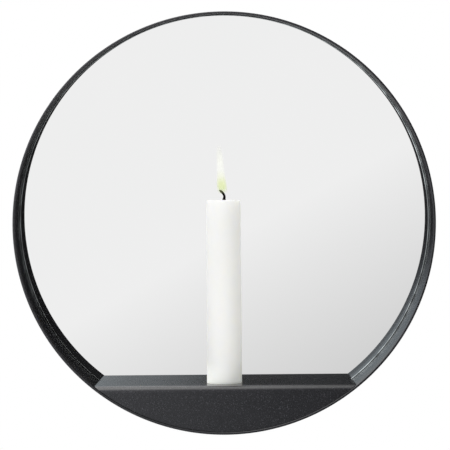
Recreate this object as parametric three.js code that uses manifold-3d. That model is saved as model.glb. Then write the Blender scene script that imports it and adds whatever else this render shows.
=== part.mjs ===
// Round wall mirror in a rolled steel hoop, with a folded shelf inside that carries one candle.
// Millimetres. +Z is up, the front faces -Y, and the origin is on the hoop's axis, in the wall plane.
import * as THREE from 'three';
import { mergeVertices } from 'three/addons/utils/BufferGeometryUtils.js';
import Module from 'manifold-3d';

const wasm = await Module();
wasm.setup();

// Hoop: a strip of sheet rolled to a ring, its front edge cut at a slant.
const HOOP_DIAMETER = 280;
const SHEET = 1.5;
const AXIS_DEPTH = 42; // wall to front rim, at the height of the axis
const FRONT_LEAN_DEG = 10; // the plane of the front rim leans back towards its top
const HOOP_WALL_GAP = 1; // the rear rim stays this far off the wall

// Shelf: one folded sheet, its top flat and its apron down in the plane of the front rim.
const SHELF_BELOW_AXIS = 108.6;
const BEND_RADIUS = 3; // outside of the fold
const APRON_SET_BACK = 0.4; // behind the front rim
const WELD_GAP = 0.3; // sheet edge to hoop wall

// Mirror glass, standing on the shelf and bonded to the back plate.
const GLASS_THICKNESS = 3;
const GLASS_ARRIS = 0.5;
const GLASS_EDGE_GAP = 0.3; // glass edge to hoop wall
const PAD_LENGTH = 40;
const PAD_HEIGHT = 20;
const PAD_CORNER = 3;
const PAD_FROM_WALL = 43.5; // middle of a pad to the hoop's wall
const PAD_ANGLES = [0, 90, 180, 240, 300];

// Back plate with its two keyholes for the wall screws.
const PLATE_EDGE_GAP = 0.3;
const KEYHOLE_SPACING = 120;
const KEYHOLE_ABOVE_AXIS = 56;
const KEYHOLE_HEAD_DIAMETER = 10;
const KEYHOLE_SLOT_WIDTH = 5;
const KEYHOLE_TRAVEL = 12;

// Tabs welded to the hoop, with the screws that hold the back plate to them.
const TAB_ANGLES = [40, 140, 220, 320];
const TAB_WIDTH = 16;
const TAB_REACH = 15;
const TAB_CORNER = 3;
const SCREW_FROM_WALL = 8;
const SCREW_DIAMETER = 3;
const SCREW_HOLE_GAP = 0.3;
const SCREW_HEAD_DIAMETER = 6;
const SCREW_HEAD_HEIGHT = 1.8;
const SCREW_HEAD_CLEARANCE = 0.7; // screw head to wall
const SCREW_SOCKET_DIAMETER = 2.2;
const SCREW_SOCKET_DEPTH = 0.9;
const NUT_ACROSS_FLATS = 5.5;
const NUT_HEIGHT = 2.4;
const NUT_CLEARANCE = 1.1; // nut to glass

// Rubber bumpers that rest on the wall.
const BUMPER_DIAMETER = 14;
const BUMPER_TIP_DIAMETER = 11;
const BUMPER_FROM_WALL = 22.5; // middle of a bumper to the hoop's wall
const BUMPER_ANGLES = [20, 160, 200, 340];

// Spike for the candle, clamped through the shelf by a washer and a nut.
const SPIKE_DIAMETER = 4;
const SPIKE_HEIGHT = 20;
const SPIKE_POINT = 9;
const COLLAR_DIAMETER = 10;
const COLLAR_HEIGHT = 0.8;
const SPIKE_HOLE_GAP = 0.3;
const WASHER_DIAMETER = 9;
const WASHER_THICKNESS = 0.8;
const SPIKE_NUT_ACROSS_FLATS = 7;
const SPIKE_NUT_HEIGHT = 3.2;
const STUD_PAST_NUT = 1.5;

// Candle and wick.
const CANDLE_DIAMETER = 23.2;
const CANDLE_HEIGHT = 121.2;
const CANDLE_EDGE_RADIUS = 1;
const CANDLE_POOL_DIAMETER = 15;
const CANDLE_POOL_DEPTH = 1.2;
const CANDLE_BORE_GAP = 0.3;
const WICK_DIAMETER = 1.7;
const WICK_SOCKET_DEPTH = 4;
const WICK_HOLE_GAP = 0.3;
const WICK_STAND = 7;
const WICK_LEAN = 3.6;

// Facets.
const RING_FACETS = 144;
const ROUND_FACETS = 48;
const SMALL_FACETS = 16;
const CORNER_FACETS = 4;

// Places that follow from the sizes above.
const innerRadius = HOOP_DIAMETER / 2 - SHEET;
const lean = THREE.MathUtils.degToRad(FRONT_LEAN_DEG);
const plateRear = -(SCREW_HEAD_HEIGHT + SCREW_HEAD_CLEARANCE);
const plateFront = plateRear - SHEET;
const padThickness = SHEET + NUT_HEIGHT + NUT_CLEARANCE;
const glassRear = plateFront - padThickness;
const glassFront = glassRear - GLASS_THICKNESS;
const shelfTop = -SHELF_BELOW_AXIS;
const shelfFront = frontRimY(shelfTop);
const spikeY = (glassFront + shelfFront) / 2;
const screwHoleRadius = SCREW_DIAMETER / 2 + SCREW_HOLE_GAP;
const studHoleRadius = SPIKE_DIAMETER / 2 + SPIKE_HOLE_GAP;

// Depth of the slanted front plane at a height z.
function frontRimY(z) {
  return -AXIS_DEPTH + z * Math.tan(lean);
}

// A point on a circle round the hoop's axis, seen from the front.
function onRing(radius, degrees) {
  const angle = THREE.MathUtils.degToRad(degrees);
  return [radius * Math.cos(angle), radius * Math.sin(angle)];
}

// Closed geometry to a manifold solid.
function toSolid(geometry) {
  const bare = geometry.clone();
  bare.deleteAttribute('normal');
  bare.deleteAttribute('uv');
  const merged = mergeVertices(bare, 1e-4);
  return new wasm.Manifold(new wasm.Mesh({
    numProp: 3,
    vertProperties: new Float32Array(merged.attributes.position.array),
    triVerts: new Uint32Array(merged.index.array),
  }));
}

// Manifold solid back to a geometry.
function toGeometry(solid) {
  const mesh = solid.getMesh();
  const geometry = new THREE.BufferGeometry();
  geometry.setAttribute('position', new THREE.BufferAttribute(new Float32Array(mesh.vertProperties), 3));
  geometry.setIndex(new THREE.BufferAttribute(new Uint32Array(mesh.triVerts), 1));
  geometry.computeVertexNormals();
  return geometry;
}

// An outline drawn as seen from the front, given a thickness from rearY towards the front.
function plateFromOutline(shape, rearY, thickness) {
  const geometry = new THREE.ExtrudeGeometry(shape, { depth: thickness, bevelEnabled: false });
  geometry.rotateX(Math.PI / 2);
  geometry.translate(0, rearY, 0);
  return geometry;
}

// The same outline with its arcs turned to straight steps, so that each has its own fineness.
function stepped(Kind, outline, facetsPerArc) {
  return new Kind(outline.getPoints(facetsPerArc / 2));
}

// A round outline or hole.
function roundPath(Kind, x, z, radius, facets) {
  const circle = new Kind();
  circle.absarc(x, z, radius, 0, Math.PI * 2, false);
  return stepped(Kind, circle, facets);
}

// A plain round bar along Y between two depths.
function barAlongY(radius, rearY, frontY, facets) {
  const bar = new THREE.CylinderGeometry(radius, radius, rearY - frontY, facets);
  bar.translate(0, (rearY + frontY) / 2, 0);
  return bar;
}

// A profile of [radius, height] pairs revolved about the Z axis.
function revolveAboutZ(profile, facets) {
  const points = profile.map(([radius, height]) => new THREE.Vector2(radius, height));
  const geometry = new THREE.LatheGeometry(points, facets);
  geometry.rotateX(Math.PI / 2);
  return geometry;
}

// A rectangle with rounded corners, its centre at the origin of its own plane.
function roundedRectangle(width, height, corner) {
  const x = width / 2;
  const z = height / 2;
  const shape = new THREE.Shape();
  shape.moveTo(-x + corner, -z);
  shape.lineTo(x - corner, -z);
  shape.absarc(x - corner, -z + corner, corner, -Math.PI / 2, 0, false);
  shape.lineTo(x, z - corner);
  shape.absarc(x - corner, z - corner, corner, 0, Math.PI / 2, false);
  shape.lineTo(-x + corner, z);
  shape.absarc(-x + corner, z - corner, corner, Math.PI / 2, Math.PI, false);
  shape.lineTo(-x, -z + corner);
  shape.absarc(-x + corner, -z + corner, corner, Math.PI, Math.PI * 1.5, false);
  return stepped(THREE.Shape, shape, CORNER_FACETS);
}

// A keyhole: a round opening for the screw's head, and a slot above it for the shank.
function keyhole(x, z) {
  const headRadius = KEYHOLE_HEAD_DIAMETER / 2;
  const slotHalf = KEYHOLE_SLOT_WIDTH / 2;
  const turn = Math.asin(slotHalf / headRadius);
  const join = z + headRadius * Math.cos(turn);
  const hole = new THREE.Path();
  hole.moveTo(x + slotHalf, join);
  hole.lineTo(x + slotHalf, z + KEYHOLE_TRAVEL);
  hole.absarc(x, z + KEYHOLE_TRAVEL, slotHalf, 0, Math.PI, false);
  hole.lineTo(x - slotHalf, join);
  hole.absarc(x, z, headRadius, Math.PI / 2 + turn, Math.PI * 2.5 - turn, false);
  return stepped(THREE.Path, hole, SMALL_FACETS);
}

// The rolled hoop, cut off in front by the leaning plane.
function makeHoop() {
  const ring = roundPath(THREE.Shape, 0, 0, HOOP_DIAMETER / 2, RING_FACETS);
  ring.holes.push(roundPath(THREE.Path, 0, 0, innerRadius, RING_FACETS));
  const deepest = HOOP_DIAMETER / 2 * Math.tan(lean) + AXIS_DEPTH;
  const strip = plateFromOutline(ring, -HOOP_WALL_GAP, deepest + SHEET);
  const cutter = new THREE.BoxGeometry(HOOP_DIAMETER * 2, HOOP_DIAMETER, HOOP_DIAMETER * 2);
  cutter.translate(0, -HOOP_DIAMETER / 2, 0);
  cutter.rotateX(-lean);
  cutter.translate(0, -AXIS_DEPTH, 0);
  return toGeometry(toSolid(strip).subtract(toSolid(cutter)));
}

// Section of the shelf across its fold, as (depth, height).
function shelfSection() {
  const turn = Math.PI / 2 - lean;
  const tangent = BEND_RADIUS * Math.tan(turn / 2);
  const cornerY = shelfFront + APRON_SET_BACK / Math.cos(lean);
  const centreY = cornerY + tangent;
  const centreZ = shelfTop - BEND_RADIUS;
  const insideRadius = BEND_RADIUS - SHEET;
  const outward = new THREE.Vector2(-Math.cos(lean), Math.sin(lean));
  const down = new THREE.Vector2(-Math.sin(lean), -Math.cos(lean));
  const apronLength = HOOP_DIAMETER / 2 - SHELF_BELOW_AXIS + BEND_RADIUS;
  const centre = new THREE.Vector2(centreY, centreZ);
  const apronFoot = centre.clone().addScaledVector(outward, BEND_RADIUS).addScaledVector(down, apronLength);
  const apronBack = apronFoot.clone().addScaledVector(outward, -SHEET);
  const section = new THREE.Shape();
  section.moveTo(plateFront - WELD_GAP, shelfTop);
  section.lineTo(centreY, shelfTop);
  section.absarc(centreY, centreZ, BEND_RADIUS, Math.PI / 2, Math.PI / 2 + turn, false);
  section.lineTo(apronFoot.x, apronFoot.y);
  section.lineTo(apronBack.x, apronBack.y);
  section.absarc(centreY, centreZ, insideRadius, Math.PI / 2 + turn, Math.PI / 2, true);
  section.lineTo(plateFront - WELD_GAP, shelfTop - SHEET);
  return section;
}

// The folded shelf, trimmed all round to the inside of the hoop and drilled for the spike.
function makeShelf() {
  const folded = new THREE.ExtrudeGeometry(shelfSection(), {
    depth: HOOP_DIAMETER,
    bevelEnabled: false,
    curveSegments: 6,
  });
  folded.translate(0, 0, -HOOP_DIAMETER / 2);
  const axes = [new THREE.Vector3(0, 1, 0), new THREE.Vector3(0, 0, 1), new THREE.Vector3(1, 0, 0)];
  folded.applyMatrix4(new THREE.Matrix4().makeBasis(...axes));
  const bore = barAlongY(innerRadius - WELD_GAP, 0, -HOOP_DIAMETER, RING_FACETS);
  const drill = new THREE.CylinderGeometry(studHoleRadius, studHoleRadius, SHEET * 4, SMALL_FACETS);
  drill.rotateX(Math.PI / 2);
  drill.translate(0, spikeY, shelfTop - SHEET / 2);
  return toGeometry(toSolid(folded).intersect(toSolid(bore)).subtract(toSolid(drill)));
}

// The mirror: a disc cut straight where it stands on the shelf, with an arris ground all round.
function makeGlass() {
  const radius = innerRadius - GLASS_EDGE_GAP;
  const foot = Math.asin(shelfTop / radius);
  const outline = new THREE.Shape();
  outline.absarc(0, 0, radius, foot, Math.PI - foot, false);
  const geometry = new THREE.ExtrudeGeometry(outline, {
    depth: GLASS_THICKNESS - 2 * GLASS_ARRIS,
    bevelEnabled: true,
    bevelThickness: GLASS_ARRIS,
    bevelSize: GLASS_ARRIS,
    bevelOffset: -GLASS_ARRIS,
    bevelSegments: 1,
    curveSegments: RING_FACETS / 2,
  });
  geometry.rotateX(Math.PI / 2);
  geometry.translate(0, glassRear - GLASS_ARRIS, 0);
  return geometry;
}

// The back plate, with holes for the tab screws and two keyholes.
function makeBackPlate() {
  const outline = roundPath(THREE.Shape, 0, 0, innerRadius - PLATE_EDGE_GAP, RING_FACETS);
  for (const angle of TAB_ANGLES) {
    const [x, z] = onRing(innerRadius - SCREW_FROM_WALL, angle);
    outline.holes.push(roundPath(THREE.Path, x, z, screwHoleRadius, SMALL_FACETS));
  }
  outline.holes.push(keyhole(-KEYHOLE_SPACING / 2, KEYHOLE_ABOVE_AXIS));
  outline.holes.push(keyhole(KEYHOLE_SPACING / 2, KEYHOLE_ABOVE_AXIS));
  return plateFromOutline(outline, plateRear, SHEET);
}

// An L-shaped tab at the right of the hoop: a foot against the plate, and a lip along the wall.
function makeTab() {
  const wall = innerRadius - WELD_GAP;
  const half = TAB_WIDTH / 2;
  const footEnd = innerRadius - TAB_REACH;
  const outline = new THREE.Shape();
  outline.moveTo(innerRadius, half);
  outline.lineTo(footEnd + TAB_CORNER, half);
  outline.absarc(footEnd + TAB_CORNER, half - TAB_CORNER, TAB_CORNER, Math.PI / 2, Math.PI, false);
  outline.lineTo(footEnd, -half + TAB_CORNER);
  outline.absarc(footEnd + TAB_CORNER, -half + TAB_CORNER, TAB_CORNER, Math.PI, Math.PI * 1.5, false);
  outline.lineTo(innerRadius, -half);
  const foot = stepped(THREE.Shape, outline, CORNER_FACETS);
  foot.holes.push(roundPath(THREE.Path, innerRadius - SCREW_FROM_WALL, 0, screwHoleRadius, SMALL_FACETS));
  const lip = new THREE.BoxGeometry(SHEET * 4, padThickness - WELD_GAP, TAB_WIDTH);
  lip.translate(wall, plateFront - (padThickness - WELD_GAP) / 2, 0);
  const inside = barAlongY(wall, 0, -AXIS_DEPTH, RING_FACETS);
  const core = barAlongY(wall - SHEET, 0, -AXIS_DEPTH, RING_FACETS);
  const curvedLip = toSolid(lip).subtract(toSolid(core));
  const footPlate = toSolid(plateFromOutline(foot, plateFront, SHEET));
  return toGeometry(curvedLip.add(footPlate).intersect(toSolid(inside)));
}

// A socket pan-head screw along Y, head to the wall, its place at the hoop's axis.
function makeScrew() {
  const headRadius = SCREW_HEAD_DIAMETER / 2;
  const shank = SCREW_DIAMETER / 2;
  const socket = SCREW_SOCKET_DIAMETER / 2;
  const length = 2 * SHEET + NUT_HEIGHT;
  const chamfer = shank / 4;
  const crown = SCREW_HEAD_HEIGHT / 3;
  const profile = [
    [0, -length], [shank - chamfer, -length], [shank, -length + chamfer], [shank, 0],
    [headRadius, 0], [headRadius, SCREW_HEAD_HEIGHT - crown], [headRadius - crown, SCREW_HEAD_HEIGHT],
    [socket, SCREW_HEAD_HEIGHT], [socket, SCREW_HEAD_HEIGHT - SCREW_SOCKET_DEPTH],
    [0, SCREW_HEAD_HEIGHT - SCREW_SOCKET_DEPTH],
  ];
  const points = profile.map(([radius, height]) => new THREE.Vector2(radius, height));
  const geometry = new THREE.LatheGeometry(points, SMALL_FACETS);
  geometry.translate(0, plateRear, 0);
  return geometry;
}

// A hexagon nut with a plain bore.
function hexagonNut(acrossFlats, boreRadius, height) {
  const corner = acrossFlats / 2 / Math.cos(Math.PI / 6);
  const outline = new THREE.Shape();
  for (let side = 0; side < 6; side += 1) {
    const angle = side * Math.PI / 3;
    const move = side === 0 ? 'moveTo' : 'lineTo';
    outline[move](corner * Math.cos(angle), corner * Math.sin(angle));
  }
  outline.holes.push(roundPath(THREE.Path, 0, 0, boreRadius, SMALL_FACETS));
  return new THREE.ExtrudeGeometry(outline, { depth: height, bevelEnabled: false });
}

// A weld nut on the front of a tab's foot.
function makeTabNut() {
  const nut = hexagonNut(NUT_ACROSS_FLATS, screwHoleRadius, NUT_HEIGHT);
  nut.rotateX(Math.PI / 2);
  nut.translate(0, plateFront - SHEET, 0);
  return nut;
}

// A foam pad between the back plate and the glass.
function makePad() {
  const outline = roundedRectangle(PAD_LENGTH, PAD_HEIGHT, PAD_CORNER);
  return plateFromOutline(outline, plateFront, padThickness);
}

// A rubber bumper, tapered towards its flat rear face on the wall.
function makeBumper() {
  const depth = -plateRear;
  const bumper = new THREE.CylinderGeometry(
    BUMPER_TIP_DIAMETER / 2, BUMPER_DIAMETER / 2, depth, ROUND_FACETS,
  );
  bumper.translate(0, -depth / 2, 0);
  return bumper;
}

// The spike, in heights above the shelf's top: stud, collar, shank and point.
function makeSpike() {
  const radius = SPIKE_DIAMETER / 2;
  const studEnd = -(SHEET + WASHER_THICKNESS + SPIKE_NUT_HEIGHT + STUD_PAST_NUT);
  return revolveAboutZ([
    [0, studEnd], [radius, studEnd], [radius, 0], [COLLAR_DIAMETER / 2, 0],
    [COLLAR_DIAMETER / 2, COLLAR_HEIGHT], [radius, COLLAR_HEIGHT],
    [radius, SPIKE_HEIGHT - SPIKE_POINT], [0, SPIKE_HEIGHT],
  ], SMALL_FACETS);
}

// The washer under the shelf.
function makeWasher() {
  const outline = roundPath(THREE.Shape, 0, 0, WASHER_DIAMETER / 2, SMALL_FACETS);
  outline.holes.push(roundPath(THREE.Path, 0, 0, studHoleRadius, SMALL_FACETS));
  const washer = new THREE.ExtrudeGeometry(outline, { depth: WASHER_THICKNESS, bevelEnabled: false });
  washer.translate(0, 0, -SHEET - WASHER_THICKNESS);
  return washer;
}

// The nut under the washer.
function makeSpikeNut() {
  const nut = hexagonNut(SPIKE_NUT_ACROSS_FLATS, studHoleRadius, SPIKE_NUT_HEIGHT);
  nut.translate(0, 0, -SHEET - WASHER_THICKNESS - SPIKE_NUT_HEIGHT);
  return nut;
}

// A quarter round of an outline, as [radius, height] pairs about a centre.
function quarter(centreRadius, centreHeight, radius, fromDegrees) {
  const steps = 4;
  const points = [];
  for (let step = 0; step <= steps; step += 1) {
    const [x, z] = onRing(radius, fromDegrees + 90 * step / steps);
    points.push([centreRadius + x, centreHeight + z]);
  }
  return points;
}

// The candle: a round bar of wax, bored for the spike, with a shallow pool round the wick.
function makeCandle() {
  const radius = CANDLE_DIAMETER / 2;
  const bore = SPIKE_DIAMETER / 2 + CANDLE_BORE_GAP;
  const recess = COLLAR_DIAMETER / 2 + CANDLE_BORE_GAP;
  const recessTop = COLLAR_HEIGHT + CANDLE_BORE_GAP;
  const edge = CANDLE_EDGE_RADIUS;
  const pool = CANDLE_POOL_DIAMETER / 2;
  const poolFloor = CANDLE_HEIGHT - CANDLE_POOL_DEPTH;
  const socket = WICK_DIAMETER / 2 + WICK_HOLE_GAP;
  const socketFloor = poolFloor - WICK_SOCKET_DEPTH;
  const slope = (pool - socket) / 4;
  return revolveAboutZ([
    [0, SPIKE_HEIGHT + 2 * CANDLE_BORE_GAP], [bore, SPIKE_HEIGHT - SPIKE_POINT + CANDLE_BORE_GAP],
    [bore, recessTop], [recess, recessTop], [recess, 0],
    ...quarter(radius - edge, edge, edge, -90),
    ...quarter(radius - edge, CANDLE_HEIGHT - edge, edge, 0),
    [pool, CANDLE_HEIGHT], [pool - slope, poolFloor + CANDLE_POOL_DEPTH / 4],
    [pool - 2 * slope, poolFloor], [socket, poolFloor], [socket, socketFloor], [0, socketFloor],
  ], ROUND_FACETS);
}

// The wick: a round cord set in the wax, curling over to the left at its burnt end.
function makeWick() {
  const foot = CANDLE_HEIGHT - CANDLE_POOL_DEPTH - WICK_SOCKET_DEPTH + WICK_HOLE_GAP;
  const top = CANDLE_HEIGHT + WICK_STAND;
  const path = new THREE.CatmullRomCurve3([
    new THREE.Vector3(0, 0, foot),
    new THREE.Vector3(0, 0, CANDLE_HEIGHT),
    new THREE.Vector3(0, 0, CANDLE_HEIGHT + WICK_STAND * 0.35),
    new THREE.Vector3(-WICK_LEAN * 0.35, 0, CANDLE_HEIGHT + WICK_STAND * 0.75),
    new THREE.Vector3(-WICK_LEAN, 0, top),
  ]);
  const section = new THREE.Shape();
  section.absarc(0, 0, WICK_DIAMETER / 2, 0, Math.PI * 2, false);
  return new THREE.ExtrudeGeometry(section, {
    steps: 20,
    bevelEnabled: false,
    curveSegments: 5,
    extrudePath: path,
  });
}

// Finishes.
const finishes = {
  coat: new THREE.MeshStandardMaterial({ color: 0x2f3033, roughness: 0.6, metalness: 0.2 }),
  glass: new THREE.MeshStandardMaterial({ color: 0xe8e9ea, roughness: 0.03, metalness: 1 }),
  plate: new THREE.MeshStandardMaterial({ color: 0x2b2c2e, roughness: 0.65, metalness: 0.2 }),
  steel: new THREE.MeshStandardMaterial({ color: 0xb4b7ba, roughness: 0.35, metalness: 1 }),
  foam: new THREE.MeshStandardMaterial({ color: 0x3c3d3f, roughness: 0.95, metalness: 0 }),
  rubber: new THREE.MeshStandardMaterial({ color: 0x1c1c1d, roughness: 0.85, metalness: 0 }),
  wax: new THREE.MeshStandardMaterial({ color: 0xf4f3ee, roughness: 0.5, metalness: 0 }),
  wick: new THREE.MeshStandardMaterial({ color: 0x15120f, roughness: 0.95, metalness: 0 }),
};

// One sub-part: its own named mesh with its own material.
function piece(parent, name, geometry, finish) {
  const mesh = new THREE.Mesh(geometry, finishes[finish].clone());
  mesh.name = name;
  parent.add(mesh);
  return mesh;
}

// Copies of a piece round the hoop's axis, each turned with its place.
function turnedCopies(parent, name, angles, makeGeometry, finish) {
  angles.forEach((angle, index) => {
    const mesh = piece(parent, `${name}_${index + 1}`, makeGeometry(), finish);
    mesh.rotation.y = -THREE.MathUtils.degToRad(angle);
  });
}

// Copies of a piece on a ring, each kept upright.
function placedCopies(parent, name, radius, angles, makeGeometry, finish) {
  angles.forEach((angle, index) => {
    const [x, z] = onRing(radius, angle);
    const mesh = piece(parent, `${name}_${index + 1}`, makeGeometry(), finish);
    mesh.position.set(x, 0, z);
  });
}

const group = new THREE.Group();

piece(group, 'hoop', makeHoop(), 'coat');
piece(group, 'shelf', makeShelf(), 'coat');
piece(group, 'mirror_glass', makeGlass(), 'glass');
piece(group, 'back_plate', makeBackPlate(), 'plate');
turnedCopies(group, 'fixing_tab', TAB_ANGLES, makeTab, 'coat');
placedCopies(group, 'tab_screw', innerRadius - SCREW_FROM_WALL, TAB_ANGLES, makeScrew, 'steel');
placedCopies(group, 'tab_nut', innerRadius - SCREW_FROM_WALL, TAB_ANGLES, makeTabNut, 'steel');
placedCopies(group, 'glass_pad', innerRadius - PAD_FROM_WALL, PAD_ANGLES, makePad, 'foam');
placedCopies(group, 'wall_bumper', innerRadius - BUMPER_FROM_WALL, BUMPER_ANGLES, makeBumper, 'rubber');

// The spike's fittings and the candle share one axis on the shelf.
const candlePlace = new THREE.Group();
candlePlace.position.set(0, spikeY, shelfTop);
group.add(candlePlace);
piece(candlePlace, 'candle_spike', makeSpike(), 'steel');
piece(candlePlace, 'spike_washer', makeWasher(), 'steel');
piece(candlePlace, 'spike_nut', makeSpikeNut(), 'steel');
piece(candlePlace, 'candle', makeCandle(), 'wax');
piece(candlePlace, 'wick', makeWick(), 'wick');

export default group;
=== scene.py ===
import math

import bmesh
import bpy
from mathutils import Matrix, Vector, noise


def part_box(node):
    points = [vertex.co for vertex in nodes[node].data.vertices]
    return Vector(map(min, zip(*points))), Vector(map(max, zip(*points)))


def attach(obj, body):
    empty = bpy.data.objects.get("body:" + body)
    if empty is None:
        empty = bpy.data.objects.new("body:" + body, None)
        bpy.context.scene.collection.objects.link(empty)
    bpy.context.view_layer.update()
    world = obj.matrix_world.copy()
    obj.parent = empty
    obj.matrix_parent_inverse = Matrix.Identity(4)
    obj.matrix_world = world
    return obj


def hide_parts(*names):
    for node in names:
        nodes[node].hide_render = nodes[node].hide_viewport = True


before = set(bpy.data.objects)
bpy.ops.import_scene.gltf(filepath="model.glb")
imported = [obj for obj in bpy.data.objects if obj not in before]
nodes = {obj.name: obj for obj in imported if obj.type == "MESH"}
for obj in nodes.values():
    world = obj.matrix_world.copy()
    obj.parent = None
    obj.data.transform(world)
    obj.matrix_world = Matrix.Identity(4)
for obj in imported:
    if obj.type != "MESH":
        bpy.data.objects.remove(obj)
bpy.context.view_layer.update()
scene = bpy.context.scene

# Hoop
# A strip of 1.5 mm sheet steel rolled to a ring and butt welded, its front edge cut at a slant so
# that it is shallow at the top and deep at the bottom. Its edges are rounded over before the fine
# textured powder coat, a satin near-black with a few lighter specks in it.
hoop_radius = 0.13999  # a hair inside the CAD's box
sheet = 0.0015
hoop_bore = hoop_radius - sheet
hoop_rear = -0.001
hoop_axis_depth = -0.042
front_lean = math.radians(10)
hoop_edge_round = 0.00025
hoop_steps = 360


def new_finish(name):
    """A Principled material, with its node tree, its shader and the object coordinates."""
    finish = bpy.data.materials.new(name)
    finish.use_nodes = True
    tree = finish.node_tree
    place = tree.nodes.new("ShaderNodeTexCoord").outputs["Object"]
    return finish, tree, tree.nodes["Principled BSDF"], place


def grain(tree, place, size, detail=2.0, roughness=0.5):
    """Noise whose features are about size metres across."""
    node = tree.nodes.new("ShaderNodeTexNoise")
    node.inputs["Scale"].default_value = 1 / size
    node.inputs["Detail"].default_value = detail
    node.inputs["Roughness"].default_value = roughness
    tree.links.new(place, node.inputs["Vector"])
    return node.outputs["Fac"]


def ranged(tree, value, low, high, to_low, to_high, smooth=False):
    """The value taken from one range to another, held at both ends."""
    node = tree.nodes.new("ShaderNodeMapRange")
    node.interpolation_type = "SMOOTHSTEP" if smooth else "LINEAR"
    for socket, number in zip(("From Min", "From Max", "To Min", "To Max"), (low, high, to_low, to_high)):
        node.inputs[socket].default_value = number
    tree.links.new(value, node.inputs["Value"])
    return node.outputs["Result"]


def blended(tree, share, first, second):
    """A mix of two colours, each a tuple or another node's output."""
    node = tree.nodes.new("ShaderNodeMix")
    node.data_type = "RGBA"
    tree.links.new(share, node.inputs["Factor"])
    for socket, colour in ((node.inputs[6], first), (node.inputs[7], second)):
        if isinstance(colour, tuple):
            socket.default_value = (*colour, 1)
        else:
            tree.links.new(colour, socket)
    return node.outputs[2]


def embossed(tree, shader, height, depth):
    """Bump on the shader's normal, its height up to so many metres."""
    node = tree.nodes.new("ShaderNodeBump")
    node.inputs["Distance"].default_value = depth
    tree.links.new(height, node.inputs["Height"])
    tree.links.new(node.outputs["Normal"], shader.inputs["Normal"])


def powder_coat(name, dark, light, speck, gloss, relief):
    """Fine textured powder coat over steel: cloudy from dark to light, with specks of a third colour."""
    finish, tree, shader, place = new_finish(name)
    fine = grain(tree, place, 0.0006, 2.0, 0.6)
    cloud = grain(tree, place, 0.012, 2.0)
    body = blended(tree, ranged(tree, cloud, 0.35, 0.65, 0, 1), dark, light)
    specks = ranged(tree, grain(tree, place, 0.0007, 2.0), 0.56, 0.72, 0, 1)
    tree.links.new(blended(tree, specks, body, speck), shader.inputs["Base Color"])
    tree.links.new(ranged(tree, fine, 0.3, 0.7, gloss - 0.03, gloss + 0.03), shader.inputs["Roughness"])
    shader.inputs["Specular IOR Level"].default_value = 1.0
    embossed(tree, shader, fine, relief)
    return finish


def made_piece(bm, name, finishes, body, replaced, crease=35.0):
    """A finished bmesh as an object on its CAD body, in the place of the nodes it stands for."""
    mesh = bpy.data.meshes.new(name)
    bm.to_mesh(mesh)
    bm.free()
    for finish in finishes:
        mesh.materials.append(finish)
    mesh.shade_smooth()
    mesh.set_sharp_from_angle(angle=math.radians(crease))
    piece = bpy.data.objects.new(name, mesh)
    scene.collection.objects.link(piece)
    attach(piece, body)
    if replaced:
        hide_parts(*replaced)
    return piece


coat = powder_coat("powder_coat_charcoal", (0.0062, 0.0060, 0.0076), (0.0082, 0.0080, 0.0098),
                   (0.016, 0.016, 0.018), 0.22, 0.000005)

hoop = bmesh.new()
deepest = hoop_axis_depth - hoop_radius * math.tan(front_lean) - sheet
corners = [hoop.verts.new((radius, depth, 0)) for radius, depth in (
    (hoop_bore, hoop_rear), (hoop_radius, hoop_rear), (hoop_radius, deepest), (hoop_bore, deepest))]
strip = [hoop.edges.new((corners[i], corners[(i + 1) % 4])) for i in range(4)]
bmesh.ops.spin(hoop, geom=corners + strip, cent=(0, 0, 0), axis=(0, 1, 0), angle=2 * math.pi,
               steps=hoop_steps, use_merge=True)
front_normal = Vector((0, -math.cos(front_lean), math.sin(front_lean)))
bmesh.ops.bisect_plane(hoop, geom=hoop.verts[:] + hoop.edges[:] + hoop.faces[:], dist=1e-6,
                       plane_co=(0, hoop_axis_depth, 0), plane_no=front_normal, clear_outer=True)
bmesh.ops.bridge_loops(hoop, edges=[edge for edge in hoop.edges if edge.is_boundary])
bmesh.ops.recalc_face_normals(hoop, faces=hoop.faces[:])


def sharp_edges(bm, over=40.0):
    """Edges whose two faces meet at more than so many degrees."""
    return [edge for edge in bm.edges
            if len(edge.link_faces) == 2 and edge.calc_face_angle() > math.radians(over)]


bmesh.ops.bevel(hoop, geom=sharp_edges(hoop), offset=hoop_edge_round, segments=4, profile=0.5,
                affect="EDGES", material=-1)
made_piece(hoop, "hoop_rolled", [coat], "frame", ["hoop"])

# Fixing tabs
# Four L-shaped tabs of the same sheet, welded inside the hoop behind the glass and coated with it.
# The back plate is screwed to them.
tab_numbers = range(1, 5)


def painted(node_names, finish):
    """A new finish for CAD nodes whose own shape stays."""
    for node_name in node_names:
        for slot in nodes[node_name].material_slots:
            slot.material = finish


painted([f"fixing_tab_{n}" for n in tab_numbers], coat)

# Shelf
# One sheet with a single round fold: a flat top, and an apron in the plane of the hoop's front. It is
# trimmed to the inside of the hoop, welded from below, and coated together with the hoop. The
# press has drawn the top down a little towards the fold.
shelf_top = -0.1086
shelf_rear = -0.0043
fold_radius = 0.003
fold_sag = 0.0004
fold_sag_reach = 0.0085
fold_sag_parts = (0, 0.15, 0.30, 0.45, 0.58, 0.70, 1)
apron_set_back = 0.0004
weld_gap = 0.0003
shelf_edge_round = 0.0005
stud_hole_radius = 0.0023
tool_reach = 0.1
drill_reach = 0.01
candle_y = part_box("candle_spike")[0].y / 2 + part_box("candle_spike")[1].y / 2


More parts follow.
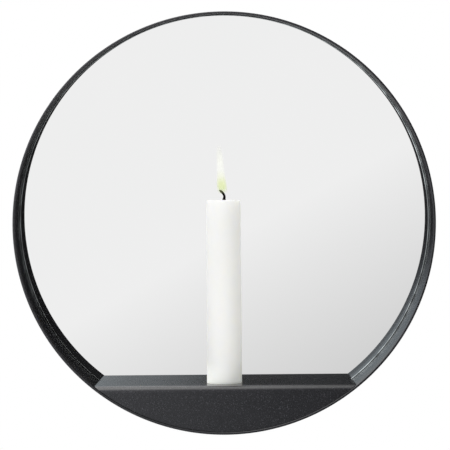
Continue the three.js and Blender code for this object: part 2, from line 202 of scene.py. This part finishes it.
def carved(base, tool, operation):
    """The base bmesh after a boolean with the tool bmesh. Both are used up."""
    scratch = []
    for bm in (base, tool):
        mesh = bpy.data.meshes.new("scratch")
        bm.to_mesh(mesh)
        bm.free()
        scratch.append(bpy.data.objects.new("scratch", mesh))
        scene.collection.objects.link(scratch[-1])
    modifier = scratch[0].modifiers.new("carve", "BOOLEAN")
    modifier.operation = operation
    modifier.solver = "EXACT"
    modifier.object = scratch[1]
    done = scratch[0].evaluated_get(bpy.context.evaluated_depsgraph_get())
    result = bmesh.new()
    result.from_mesh(done.to_mesh())
    for used in scratch:
        bpy.data.objects.remove(used)
    return result


def round_bar(radius, low, high, axis, steps):
    """A capped round bar along an axis letter between two points, as a bmesh."""
    bar = bmesh.new()
    turn = Matrix.Rotation(math.radians(90), 4, "X") if axis == "Y" else Matrix.Identity(4)
    bmesh.ops.create_cone(bar, cap_ends=True, segments=steps, radius1=radius, radius2=radius,
                          depth=(Vector(high) - Vector(low)).length)
    bmesh.ops.transform(bar, verts=bar.verts[:],
                        matrix=Matrix.Translation((Vector(low) + Vector(high)) / 2) @ turn)
    return bar


def moved(bm, grown, way):
    """Moves the vertices among what an extrusion has grown."""
    bmesh.ops.translate(bm, verts=[item for item in grown if isinstance(item, bmesh.types.BMVert)], vec=way)


shelf = bmesh.new()
shelf_front = hoop_axis_depth + shelf_top * math.tan(front_lean)
fold_y = shelf_front + apron_set_back / math.cos(front_lean)
apron_foot = 1.02 * hoop_radius  # past the hoop, and trimmed to it below
apron_y = fold_y - (apron_foot + shelf_top) * math.tan(front_lean)
corner_y = fold_y - fold_sag * math.tan(front_lean)
sagging = [(corner_y + fold_sag_reach * (1 - part), shelf_top - fold_sag * part ** 2)
           for part in fold_sag_parts]
sag_slope = (1 + fold_sag_parts[-2]) * fold_sag / fold_sag_reach
outline = [shelf.verts.new((-hoop_radius, depth, height)) for depth, height in (
    (shelf_rear, shelf_top), *sagging, (apron_y, -apron_foot))]
line = [shelf.edges.new(pair) for pair in zip(outline, outline[1:])]
moved(shelf, bmesh.ops.extrude_edge_only(shelf, edges=line)["geom"], (2 * hoop_radius, 0, 0))
bmesh.ops.recalc_face_normals(shelf, faces=shelf.faces[:])
if max(shelf.faces, key=lambda face: face.calc_center_median().z).normal.z < 0:
    bmesh.ops.reverse_faces(shelf, faces=shelf.faces[:])
fold_turn = math.pi / 2 - front_lean - sag_slope
bmesh.ops.bevel(shelf, geom=sharp_edges(shelf, 30.0), offset=fold_radius * math.tan(fold_turn / 2),
                segments=12, profile=0.5, affect="EDGES", material=-1, clamp_overlap=False)
bmesh.ops.solidify(shelf, geom=shelf.faces[:], thickness=sheet)
bmesh.ops.recalc_face_normals(shelf, faces=shelf.faces[:])
inside = round_bar(hoop_bore - weld_gap, (0, -tool_reach, 0), (0, 0, 0), "Y", hoop_steps)
shelf = carved(shelf, inside, "INTERSECT")
drill = round_bar(stud_hole_radius, (0, candle_y, shelf_top - drill_reach),
                  (0, candle_y, shelf_top + drill_reach), "Z", 48)
shelf = carved(shelf, drill, "DIFFERENCE")
bmesh.ops.remove_doubles(shelf, verts=shelf.verts[:], dist=1e-6)
shelf_coat = powder_coat("powder_coat_shelf", (0.0062, 0.0060, 0.0078), (0.0082, 0.0080, 0.0100),
                         (0.062, 0.062, 0.068), 0.22, 0.000012)
shelf_piece = made_piece(shelf, "shelf_folded", [shelf_coat], "frame", ["shelf"])
edge_round = shelf_piece.modifiers.new("edge_round", "BEVEL")
edge_round.width = shelf_edge_round
edge_round.segments = 3
edge_round.limit_method = "ANGLE"
edge_round.angle_limit = math.radians(40)
edge_round.use_clamp_overlap = True

# Mirror glass
# A round of 3 mm float glass, cut straight where it stands on the shelf, its arris ground all
# round and its back silvered and painted. The ground arris has a painted glow, faint all round and
# brighter at the lower and upper right. It shows as a fine light line between the hoop's wall and
# the wall's own reflection.
glass_radius = hoop_bore - 0.0003
glass_rear = -0.009
glass_front = -0.012
glass_arris = 0.0005


def computed(tree, operation, first, second):
    """A Math node on two values, each a number or another node's output."""
    node = tree.nodes.new("ShaderNodeMath")
    node.operation = operation
    for socket, value in zip(node.inputs, (first, second)):
        if isinstance(value, (int, float)):
            socket.default_value = value
        else:
            tree.links.new(value, socket)
    return node.outputs["Value"]


silver, tree, shader, place = new_finish("mirror_silver")
shader.inputs["Metallic"].default_value = 1.0
shader.inputs["Roughness"].default_value = 0.0
haze = ranged(tree, grain(tree, place, 0.09, 1.0), 0.3, 0.7, 0, 1)
tree.links.new(blended(tree, haze, (0.898, 0.900, 0.899), (0.902, 0.902, 0.902)), shader.inputs["Base Color"])

ground_glass, tree, shader, place = new_finish("ground_glass_edge")
frost = grain(tree, place, 0.0008, 3.0)
tree.links.new(blended(tree, frost, (0.60, 0.64, 0.62), (0.84, 0.88, 0.86)), shader.inputs["Base Color"])
tree.links.new(ranged(tree, frost, 0.3, 0.7, 0.22, 0.42), shader.inputs["Roughness"])
embossed(tree, shader, frost, 0.00004)
# Painted light: the arris glows, faint all round, about three times brighter towards the lower right and the
# upper right, and nearly dark at the lower left.
painted_arris_glow = ranged(tree, grain(tree, place, 0.008, 1.0), 0.38, 0.66, 0.5, 1.6)
lower_right, lower_left, upper_right = (0.6, 0, -0.8), (-0.6, 0, -0.8), (0.7, 0, 0.7)
for way, low, high, to_low, to_high in ((lower_right, -0.083, 0.100, 0.07, 0.15),
                                        (lower_right, 0.108, 0.138, 1, 2.8),
                                        (lower_left, 0.114, 0.127, 1, 0.02),
                                        (upper_right, 0.102, 0.126, 1, 3)):
    reached = tree.nodes.new("ShaderNodeVectorMath")
    reached.operation = "DOT_PRODUCT"
    reached.inputs[1].default_value = way
    tree.links.new(place, reached.inputs[0])
    painted_arris_glow = computed(tree, "MULTIPLY", painted_arris_glow,
                       ranged(tree, reached.outputs["Value"], low, high, to_low, to_high, True))
tree.links.new(painted_arris_glow, shader.inputs["Emission Strength"])
shader.inputs["Emission Color"].default_value = (0.90, 0.98, 1.0, 1)

backing_paint, tree, shader, place = new_finish("mirror_backing_paint")
brushed = grain(tree, place, 0.003, 4.0, 0.7)
tree.links.new(blended(tree, brushed, (0.10, 0.11, 0.12), (0.15, 0.16, 0.17)), shader.inputs["Base Color"])
tree.links.new(ranged(tree, brushed, 0.3, 0.7, 0.5, 0.65), shader.inputs["Roughness"])
embossed(tree, shader, brushed, 0.00008)

glass = bmesh.new()
bmesh.ops.create_circle(glass, cap_ends=True, segments=hoop_steps, radius=glass_radius)
bmesh.ops.rotate(glass, verts=glass.verts[:], matrix=Matrix.Rotation(math.radians(90), 3, "X"))
bmesh.ops.translate(glass, verts=glass.verts[:], vec=(0, glass_front, 0))
bmesh.ops.bisect_plane(glass, geom=glass.verts[:] + glass.edges[:] + glass.faces[:], dist=1e-7,
                       plane_co=(0, 0, shelf_top), plane_no=(0, 0, -1), clear_outer=True)
moved(glass, bmesh.ops.extrude_face_region(glass, geom=glass.faces[:])["geom"],
      (0, glass_rear - glass_front, 0))
bmesh.ops.recalc_face_normals(glass, faces=glass.faces[:])
faces_apart = [edge for edge in sharp_edges(glass, 60.0)
               if any(abs(face.normal.y) > 0.9 for face in edge.link_faces)
               and any(vert.co.z > shelf_top + 1e-5 for vert in edge.verts)]
bmesh.ops.bevel(glass, geom=faces_apart, offset=glass_arris, segments=1, profile=0.5,
                affect="EDGES", material=-1)
for face in glass.faces:
    face.material_index = 0 if face.normal.y < -0.99 else 2 if face.normal.y > 0.99 else 1
made_piece(glass, "mirror_silvered", [silver, ground_glass, backing_paint], "frame",
           ["mirror_glass"], 20.0)

# Back plate and pads
# A disc of sheet steel with two keyholes for the wall screws, painted flat black. Five foam pads
# glued to its front carry the glass, thick enough to leave room for the wall screws' heads.
plate_paint = powder_coat("plate_paint_black", (0.016, 0.016, 0.017), (0.024, 0.024, 0.025),
                          (0.045, 0.045, 0.046), 0.52, 0.000012)
painted(["back_plate"], plate_paint)

foam, tree, shader, place = new_finish("closed_cell_foam")
cells = grain(tree, place, 0.0012, 4.0, 0.7)
tree.links.new(blended(tree, cells, (0.020, 0.020, 0.021), (0.070, 0.070, 0.072)),
               shader.inputs["Base Color"])
shader.inputs["Roughness"].default_value = 0.95
embossed(tree, shader, cells, 0.0003)
painted([f"glass_pad_{n}" for n in range(1, 6)], foam)

# Plate screws and nuts
# Four zinc plated pan-head screws with a hexagon socket, through the plate and the tabs into weld
# nuts. The nuts are hidden between the plate and the glass.
screw_radius = 0.0015
screw_head_radius = 0.003
screw_head_height = 0.0018
screw_head_round = 0.0008
socket_half_width = 0.0011
socket_depth = 0.0009
socket_tool_reach = 0.001

zinc, tree, shader, place = new_finish("zinc_plate")
shader.inputs["Metallic"].default_value = 1.0
bloom = grain(tree, place, 0.0022, 3.0, 0.6)
tree.links.new(blended(tree, bloom, (0.50, 0.52, 0.54), (0.66, 0.67, 0.67)), shader.inputs["Base Color"])
tree.links.new(ranged(tree, bloom, 0.3, 0.7, 0.28, 0.44), shader.inputs["Roughness"])
embossed(tree, shader, grain(tree, place, 0.0004, 2.0), 0.00002)


def spun(profile, centre, axis, steps):
    """A profile of (radius, height along the axis) pairs turned once about an axis through centre."""
    bm = bmesh.new()
    points = [Vector((radius, height, 0)) if axis == "Y" else Vector((radius, 0, height))
              for radius, height in profile]
    verts = [bm.verts.new(point + Vector(centre)) for point in points]
    edges = [bm.edges.new(pair) for pair in zip(verts, verts[1:])]
    bmesh.ops.spin(bm, geom=verts + edges, cent=centre, axis=(0, 1, 0) if axis == "Y" else (0, 0, 1),
                   angle=2 * math.pi, steps=steps, use_merge=True)
    bmesh.ops.remove_doubles(bm, verts=bm.verts[:], dist=1e-6)
    bmesh.ops.recalc_face_normals(bm, faces=bm.faces[:])
    return bm


for n in tab_numbers:
    low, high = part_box(f"tab_screw_{n}")
    centre = Vector(((low.x + high.x) / 2, high.y - screw_head_height, (low.z + high.z) / 2))
    length = centre.y - low.y
    screw = spun([(0, -length), (screw_radius * 0.75, -length), (screw_radius, -length + screw_radius / 4),
                  (screw_radius, 0), (screw_head_radius, 0), (screw_head_radius, screw_head_height),
                  (0, screw_head_height)], centre, "Y", 48)
    crown = [edge for edge in sharp_edges(screw, 60.0)
             if all(abs(v.co.y - high.y) < 1e-6 for v in edge.verts)]
    bmesh.ops.bevel(screw, geom=crown, offset=screw_head_round, segments=5, profile=0.5,
                    affect="EDGES", material=-1)
    key = round_bar(socket_half_width / math.cos(math.pi / 6), (centre.x, high.y - socket_depth, centre.z),
                    (centre.x, high.y + socket_tool_reach, centre.z), "Y", 6)
    screw = carved(screw, key, "DIFFERENCE")
    made_piece(screw, f"tab_screw_socket_{n}", [zinc], "frame", [f"tab_screw_{n}"])
painted([f"tab_nut_{n}" for n in tab_numbers], zinc)

# Wall bumpers
# Four moulded rubber bumpers stuck to the back plate. Their flat tips rest on the wall and keep
# the hoop a millimetre off it.
bumper_radius = 0.0070
bumper_lip = 0.0006
bumper_lip_step = 0.0002
bumper_tip_radius = 0.0055
bumper_round = 0.0006
dimple_radius = 0.0016
dimple_depth = 0.0004

rubber, tree, shader, place = new_finish("bumper_rubber")
bloomed = grain(tree, place, 0.004, 3.0)
tree.links.new(blended(tree, bloomed, (0.012, 0.012, 0.012), (0.026, 0.026, 0.027)),
               shader.inputs["Base Color"])
tree.links.new(ranged(tree, bloomed, 0.3, 0.7, 0.62, 0.8), shader.inputs["Roughness"])
embossed(tree, shader, grain(tree, place, 0.0006, 2.0), 0.00003)
for n in range(1, 5):
    low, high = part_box(f"wall_bumper_{n}")
    centre = Vector(((low.x + high.x) / 2, 0, (low.z + high.z) / 2))
    bumper = spun([(0, low.y), (bumper_radius, low.y), (bumper_radius - bumper_lip_step, low.y + bumper_lip),
                   (bumper_tip_radius, high.y), (dimple_radius, high.y),
                   (dimple_radius - dimple_depth, high.y - dimple_depth), (0, high.y - dimple_depth)],
                  centre, "Y", 64)
    tip = [edge for edge in sharp_edges(bumper, 30.0)
           if all(abs(v.co.y - high.y) < 1e-6 for v in edge.verts)]
    bmesh.ops.bevel(bumper, geom=tip, offset=bumper_round, segments=4, profile=0.5,
                    affect="EDGES", material=-1, clamp_overlap=True)
    made_piece(bumper, f"bumper_moulded_{n}", [rubber], "frame", [f"wall_bumper_{n}"])

# Candle spike
# A turned steel spike that the candle is pushed on. Its collar sits on the shelf, and its stud is
# clamped under the shelf by a washer and a nut.
stud_radius = 0.0020
stud_chamfer = 0.0004
collar_radius = 0.0050
collar_height = 0.0008
collar_fillet = 0.0004
collar_round = 0.00015
spike_point = ((stud_radius, 0.009), (0.0016, 0.0072), (0.0010, 0.0042), (0, 0))
low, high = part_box("candle_spike")
collar_top = shelf_top + collar_height
spike = spun([(0, low.z), (stud_radius - stud_chamfer, low.z), (stud_radius, low.z + stud_chamfer),
              (stud_radius, shelf_top), (collar_radius, shelf_top), (collar_radius, collar_top),
              (stud_radius + collar_fillet, collar_top), (stud_radius, collar_top + collar_fillet),
              *((radius, high.z - below) for radius, below in spike_point)], (0, candle_y, 0), "Z", 64)


def far_out(vert, radius):
    """Whether a vertex lies further from the candle's axis than a radius."""
    return math.hypot(vert.co.x, vert.co.y - candle_y) > radius


collar = [edge for edge in sharp_edges(spike, 60.0)
          if all(far_out(vert, collar_radius - 1e-5) for vert in edge.verts)]
bmesh.ops.bevel(spike, geom=collar, offset=collar_round, segments=2, profile=0.5,
                affect="EDGES", material=-1)
made_piece(spike, "candle_spike_turned", [zinc], "frame", ["candle_spike"])
painted(["spike_washer", "spike_nut"], zinc)

# Candle
# A moulded household candle of white wax, a touch narrower at its head, bored at its foot and pushed
# on the spike. It has burnt long enough for a shallow pool of clear molten wax round the wick. The
# wax has a painted glow: even all over, more at its sides, and most at its foot, where it is strong on
# the left and weaker on the right.
candle_radius = 0.0116
candle_draft = 0.00025
candle_foot = shelf_top
candle_head = shelf_top + 0.1212
candle_foot_round = 0.0004
candle_head_round = 0.0010
foot_aside = -0.00065
head_aside = -0.00035
spike_bore = 0.0023
spike_bore_depth = 0.0113
spike_bore_end = 0.0206
collar_recess = 0.0053
collar_recess_depth = 0.0011
pool_radius = 0.0088
pool_depth = 0.0011
wick_swell = 0.0016

wax, tree, shader, place = new_finish("white_wax")
mottle = grain(tree, place, 0.010, 3.0)
tree.links.new(blended(tree, mottle, (0.860, 0.856, 0.834), (0.880, 0.878, 0.860)),
               shader.inputs["Base Color"])
tree.links.new(ranged(tree, mottle, 0.3, 0.7, 0.38, 0.50), shader.inputs["Roughness"])
shader.inputs["Subsurface Weight"].default_value = 1.0
shader.inputs["Subsurface Radius"].default_value = (1.0, 0.95, 0.80)
shader.inputs["Subsurface Scale"].default_value = 0.009
shader.inputs["Specular IOR Level"].default_value = 0.35
embossed(tree, shader, grain(tree, place, 0.004, 3.0), 0.00008)
# Painted light: an even glow in the wax, more towards its sides. At its foot there is more painted light,
# strong on the left, which dips a little below the even glow on the right.
across = tree.nodes.new("ShaderNodeSeparateXYZ")
tree.links.new(place, across.inputs["Vector"])
painted_foot_light = computed(tree, "MULTIPLY",
                     ranged(tree, across.outputs["Z"], candle_foot, candle_foot + 0.018, 0.30, 0, True),
                     ranged(tree, across.outputs["X"], -candle_radius, candle_radius, 1.1, -0.25))
aside = computed(tree, "ABSOLUTE", computed(tree, "ADD", across.outputs["X"], 0.0005), 0)
painted_side_light = computed(tree, "POWER", ranged(tree, aside, 0.0046, 0.0115, 0, 1), 2)
painted_wax_glow = computed(tree, "ADD", computed(tree, "MULTIPLY", painted_side_light, 0.07), 0.24)
tree.links.new(computed(tree, "ADD", painted_wax_glow, painted_foot_light), shader.inputs["Emission Strength"])
shader.inputs["Emission Color"].default_value = (0.98, 1.0, 0.90, 1)

molten, tree, shader, place = new_finish("molten_wax")
ripple = grain(tree, place, 0.006, 1.0)
tree.links.new(blended(tree, ripple, (0.84, 0.82, 0.75), (0.88, 0.87, 0.81)), shader.inputs["Base Color"])
shader.inputs["Roughness"].default_value = 0.06
shader.inputs["Subsurface Weight"].default_value = 1.0
shader.inputs["Subsurface Radius"].default_value = (1.0, 0.9, 0.7)
shader.inputs["Subsurface Scale"].default_value = 0.008
shader.inputs["Coat Weight"].default_value = 0.6
embossed(tree, shader, ripple, 0.00004)

pool = candle_head - pool_depth
candle = spun([(0, candle_foot + spike_bore_end), (spike_bore, candle_foot + spike_bore_depth),
               (spike_bore, candle_foot + collar_recess_depth),
               (collar_recess, candle_foot + collar_recess_depth), (collar_recess, candle_foot),
               (candle_radius, candle_foot),
               *((candle_radius, candle_foot + height) for height in (0.030, 0.060, 0.090)),
               (candle_radius, candle_head),
               (pool_radius + 0.0006, candle_head - 0.0001), (pool_radius, candle_head - 0.0005),
               (pool_radius - 0.0008, pool), (0.0045, pool), (wick_swell, pool),
               (0.0009, pool + 0.0005), (0, pool + 0.0006)], (0, candle_y, 0), "Z", 128)
for height, rounding in ((candle_foot, candle_foot_round), (candle_head, candle_head_round)):
    outer_rim = [edge for edge in sharp_edges(candle, 60.0)
                 if all(far_out(vert, candle_radius - 1e-5) and abs(vert.co.z - height) < 1e-6
                        for vert in edge.verts)]
    bmesh.ops.bevel(candle, geom=outer_rim, offset=rounding, segments=6, profile=0.5,
                    affect="EDGES", material=-1)
wall = [vert for vert in candle.verts if far_out(vert, candle_radius - 0.0015)]
for vert in wall:
    along = (vert.co.z - candle_foot) / (candle_head - candle_foot)
    narrower = 1 - along * candle_draft / candle_radius
    vert.co.x = vert.co.x * narrower + foot_aside + along * (head_aside - foot_aside)
    vert.co.y = candle_y + (vert.co.y - candle_y) * narrower
for vert in candle.verts:
    if vert.co.z > candle_head - 0.0006 and far_out(vert, pool_radius - 0.0001):
        vert.co.z += 0.00012 * noise.noise(Vector((vert.co.x, vert.co.y, 0)) * 260) - 0.00008
for face in candle.faces:
    centre = face.calc_center_median()
    if centre.z > candle_head - 0.004 and math.hypot(centre.x, centre.y - candle_y) < pool_radius - 0.0004:
        face.material_index = 1
made_piece(candle, "candle_moulded", [wax, molten], "candle", ["candle"])

# Wick
# A braided cotton wick, burnt black, that stands in the molten wax and curls over to the left. It is
# swollen at its foot and thins towards its tip.
wick_stations = [(0, -0.0040, 0.00070, 0), (0, -0.0010, 0.00085, 0), (0, 0.0006, 0.00105, 0),
                 (0.0001, 0.0014, 0.00075, -4), (0.0003, 0.0025, 0.00074, 2), (0, 0.0037, 0.00078, 22),
                 (-0.0008, 0.0049, 0.00078, 40), (-0.0015, 0.0058, 0.00072, 54),
                 (-0.0024, 0.0063, 0.00056, 64), (-0.0032, 0.0066, 0.00030, 68)]
wick_fray = 0.00010

charred, tree, shader, place = new_finish("charred_cotton")
ash = grain(tree, place, 0.0006, 3.0)
tree.links.new(blended(tree, ranged(tree, ash, 0.45, 0.75, 0, 1), (0.0015, 0.0015, 0.0015),
                       (0.006, 0.0055, 0.005)), shader.inputs["Base Color"])
tree.links.new(ranged(tree, ash, 0.3, 0.7, 0.75, 0.95), shader.inputs["Roughness"])
shader.inputs["Specular IOR Level"].default_value = 0.15
embossed(tree, shader, grain(tree, place, 0.0003, 2.0), 0.0001)


def drawn_out(stations, sides):
    """A disc extruded through stations of (x, height over the candle's head, radius, lean in degrees)."""
    bm = bmesh.new()
    x, height, radius, lean = stations[0]
    here = Matrix.Translation((x, candle_y, candle_head + height))
    bmesh.ops.create_circle(bm, cap_ends=True, segments=sides, radius=radius, matrix=here)
    bm.faces.ensure_lookup_table()
    end = bm.faces[0]
    for x, height, next_radius, next_lean in stations[1:]:
        grown = bmesh.ops.extrude_face_region(bm, geom=[end])["geom"]
        end = next(item for item in grown if isinstance(item, bmesh.types.BMFace))
        there = Matrix.Translation((x, candle_y, candle_head + height))
        turn = Matrix.Rotation(math.radians(lean - next_lean), 4, "Y")
        step = there @ turn @ Matrix.Scale(next_radius / radius, 4) @ here.inverted()
        bmesh.ops.transform(bm, verts=end.verts[:], matrix=step)
        here, radius, lean = there, next_radius, next_lean
    bmesh.ops.recalc_face_normals(bm, faces=bm.faces[:])
    return bm


def rounded_off(piece, levels):
    """Subdivision on a piece, the same in the view and in the render."""
    smooth = piece.modifiers.new("smooth", "SUBSURF")
    smooth.levels = smooth.render_levels = levels


wick = drawn_out(wick_stations, 12)
noise.seed_set(1)  # the clock seeds it otherwise, and the fray changes with each run
for vert in wick.verts:
    vert.co += wick_fray * Vector(noise.noise_vector(vert.co * 1800))
rounded_off(made_piece(wick, "wick_burnt", [charred], "candle", ["wick"], 180.0), 2)

# Flame
# The flame of a candle that burns in daylight: pale yellow-green round the wick, near white above,
# thinning out at its tip. It is two closed shells, one in the other, that add up to soft edges.
flame_stations = [(-0.0011, 0.0042, 0.0017), (-0.0011, 0.0052, 0.0030), (-0.0013, 0.0078, 0.0034),
                  (-0.0017, 0.0135, 0.0030), (-0.0020, 0.0180, 0.0026), (-0.0024, 0.0250, 0.0023),
                  (-0.0028, 0.0310, 0.0022), (-0.0033, 0.0382, 0.0018)]
flame_foot = candle_head + flame_stations[0][1]
flame_tip = candle_head + flame_stations[-1][1]
flame_colours = ((0.10, (0.76, 0.85, 0.44)), (0.95, (0.93, 0.945, 0.86)), (0.22, (0.82, 0.88, 0.54)),
                 (0.34, (0.93, 0.95, 0.80)), (0.47, (0.98, 0.99, 0.94)))


def stepped(tree, value, steps):
    """A colour ramp from steps of (position, colour or grey level), the first two its two ends."""
    ramp = tree.nodes.new("ShaderNodeValToRGB")
    tree.links.new(value, ramp.inputs["Fac"])
    elements = ramp.color_ramp.elements
    for index, (position, colour) in enumerate(steps):
        element = elements[index] if index < 2 else elements.new(position)
        element.position = position
        element.color = (*colour, 1) if isinstance(colour, tuple) else (colour, colour, colour, 1)
    return ramp.outputs["Color"]


for shell, (share, cover) in enumerate(((1.0, 0.26), (0.62, 0.46)), start=1):
    glow, tree, shader, place = new_finish(f"flame_glow_{shell}")
    glow.surface_render_method = "BLENDED"
    height = tree.nodes.new("ShaderNodeSeparateXYZ")
    tree.links.new(place, height.inputs["Vector"])
    along = ranged(tree, height.outputs["Z"], flame_foot, flame_tip, 0, 1)
    tree.links.new(stepped(tree, along, flame_colours), shader.inputs["Emission Color"])
    fade = ranged(tree, along, 0.55, 0.97, cover, cover * 0.08, True)
    rise = ranged(tree, along, 0.0, 0.22, 0.05, 1, True)
    tree.links.new(computed(tree, "MULTIPLY", rise, fade), shader.inputs["Alpha"])
    shader.inputs["Emission Strength"].default_value = 1.0
    shader.inputs["Base Color"].default_value = (0, 0, 0, 1)
    shader.inputs["Specular IOR Level"].default_value = 0.0
    flame = drawn_out([(x, height * (0.94 + 0.06 * share) + 0.0004 * (1 - share), radius * share, 0)
                       for x, height, radius in flame_stations], 16)
    rounded_off(made_piece(flame, f"flame_shell_{shell}", [glow], "candle", [], 180.0), 2)

# Studio
# A pale round floor below the hoop, faded to the white of the backdrop, and a plain studio: soft
# light from the upper left, a darker right, and white behind the holder. What the camera sees in the
# glass is a plain grey gradient.
floor_height = -0.30
floor_radius = 0.95
fade_start = 0.45
fade_end = 0.98

pale, tree, shader, place = new_finish("pale_floor")
shader.inputs["Roughness"].default_value = 0.9
tree.links.new(blended(tree, grain(tree, place, 0.25, 2.0), (0.80, 0.80, 0.80), (0.83, 0.83, 0.83)),
               shader.inputs["Base Color"])
distance = tree.nodes.new("ShaderNodeVectorMath")
distance.operation = "LENGTH"
tree.links.new(place, distance.inputs[0])
path = tree.nodes.new("ShaderNodeLightPath")
faded = ranged(tree, distance.outputs["Value"], fade_start, fade_end, 0, 1, True)
white = tree.nodes.new("ShaderNodeEmission")
white.inputs["Color"].default_value = (1, 1, 1, 1)
mixed = tree.nodes.new("ShaderNodeMixShader")
tree.links.new(computed(tree, "MULTIPLY", faded, path.outputs["Is Camera Ray"]), mixed.inputs["Fac"])
tree.links.new(shader.outputs["BSDF"], mixed.inputs[1])
tree.links.new(white.outputs["Emission"], mixed.inputs[2])
tree.links.new(mixed.outputs["Shader"], tree.nodes["Material Output"].inputs["Surface"])
disc = bmesh.new()
bmesh.ops.create_circle(disc, cap_ends=True, segments=128, radius=floor_radius,
                        matrix=Matrix.Translation((0, 0, floor_height)))
floor_mesh = bpy.data.meshes.new("floor")
disc.to_mesh(floor_mesh)
disc.free()
floor_mesh.materials.append(pale)
floor = bpy.data.objects.new("floor", floor_mesh)
scene.collection.objects.link(floor)

world = bpy.data.worlds.new("studio")
world.use_nodes = True
scene.world = world
tree = world.node_tree
axes = tree.nodes.new("ShaderNodeSeparateXYZ")
tree.links.new(tree.nodes.new("ShaderNodeTexCoord").outputs["Generated"], axes.inputs["Vector"])
across, into, up = (axes.outputs[letter] for letter in "XYZ")
path = tree.nodes.new("ShaderNodeLightPath")


def by_height(levels):
    """Light by the height of its direction, from straight down at -1 to straight up at 1."""
    return stepped(tree, ranged(tree, up, -1, 1, 0, 1), [((at + 1) / 2, level) for at, level in levels])


left_levels = [(-1, 0.6), (1, 3.0), (-0.12, 0.29), (-0.07, 0.008), (-0.035, 0.044), (0, 0.002),
               (0.02, 0.002), (0.036, (0.06, 0.065, 0.072)), (0.051, (0.23, 0.245, 0.265)),
               (0.066, (0.27, 0.30, 0.315)), (0.08, (0.143, 0.166, 0.172)), (0.095, (0.12, 0.143, 0.158)),
               (0.12, (0.155, 0.185, 0.215)), (0.17, (0.42, 0.46, 0.45)), (0.25, (0.55, 0.56, 0.58)),
               (0.45, (1.20, 1.19, 1.28)), (0.66, 1.90)]
brighter_band = [(at, tuple(2.15 * part for part in level) if 0.04 < at < 0.13 else level)
                 for at, level in left_levels]
left = blended(tree, ranged(tree, across, -0.055, -0.075, 0, 1, True),
               by_height(left_levels), by_height(brighter_band))
left = blended(tree, ranged(tree, across, -0.25, -0.75, 0, 1, True), left, (1.06, 1.05, 1.18))
left = blended(tree, ranged(tree, across, -0.75, -0.95, 0, 1, True), left, (0.25, 0.25, 0.25))
card = computed(tree, "MULTIPLY", ranged(tree, across, -0.12, -0.22, 0, 0.8),
                ranged(tree, across, -0.55, -0.42, 0, 1))
card = computed(tree, "MULTIPLY", card, ranged(tree, up, 0, 0.02, 0, 1))
card = computed(tree, "MULTIPLY", card, ranged(tree, up, 0.12, 0.08, 0, 1))
left = blended(tree, card, left, (0.01, 0.01, 0.01))

right = by_height([(-1, 0.6), (1, 0.82), (-0.12, 0.092), (-0.05, 0.002), (0, 0.002), (0.12, 0.002),
                   (0.25, 0.052), (0.45, 0.005), (0.66, 0.13)])
right = blended(tree, ranged(tree, across, 0.25, 0.70, 0, 1, True), right, (0.54, 0.53, 0.55))

# Low down, a little of the left's light also reaches into the right.
reach = computed(tree, "MULTIPLY", ranged(tree, across, 0.012, 0.032, 0, 0.10),
                 ranged(tree, across, 0.082, 0.058, 0, 1))
low_share = computed(tree, "ADD", ranged(tree, across, 0, -0.044, 0, 1), reach)
high_share = ranged(tree, across, 0.055, -0.060, 0, 1)
share = blended(tree, ranged(tree, up, 0.15, 0.30, 0, 1), low_share, high_share)
rear = blended(tree, path.outputs["Is Glossy Ray"], (1.3, 1.3, 1.3), (0.01, 0.01, 0.01))
studio = blended(tree, ranged(tree, into, 0.05, 0.35, 0, 1, True), blended(tree, share, right, left), rear)

# The grey in the glass darkens towards its lower right.
slant = computed(tree, "ADD", computed(tree, "MULTIPLY", across, 150.0),
                 computed(tree, "MULTIPLY", up, -284.0))
gradient = blended(tree, ranged(tree, slant, 1.6, 41.6, 0.951, 0.615), (0, 0, 0), (1, 1, 1))
first_bounce = computed(tree, "LESS_THAN", path.outputs["Ray Depth"], 2.5)
seen_in_glass = computed(tree, "MULTIPLY", path.outputs["Is Singular Ray"], first_bounce)
lit = blended(tree, seen_in_glass, studio, gradient)
tree.links.new(blended(tree, path.outputs["Is Camera Ray"], lit, (1, 1, 1)),
               tree.nodes["Background"].inputs["Color"])

# Camera
# Close to the hoop's axis, 1.3 m in front of the glass, with a long lens. It is rolled by half a
# degree, because the holder hangs a touch turned in the picture.
stand = Vector((0.00852, -1.312, -0.00290))
aim = Vector((0.00036, 0, -0.00402))
roll = math.radians(-0.50)

camera_data = bpy.data.cameras.new("camera")
camera_data.lens = 153.72
camera_data.sensor_width = 36
camera = bpy.data.objects.new("camera", camera_data)
scene.collection.objects.link(camera)
camera.matrix_world = (Matrix.Translation(stand) @ (aim - stand).to_track_quat("-Z", "Y").to_matrix().to_4x4()
                       @ Matrix.Rotation(roll, 4, "Z"))
scene.camera = camera
scene.view_settings.view_transform = "Standard"
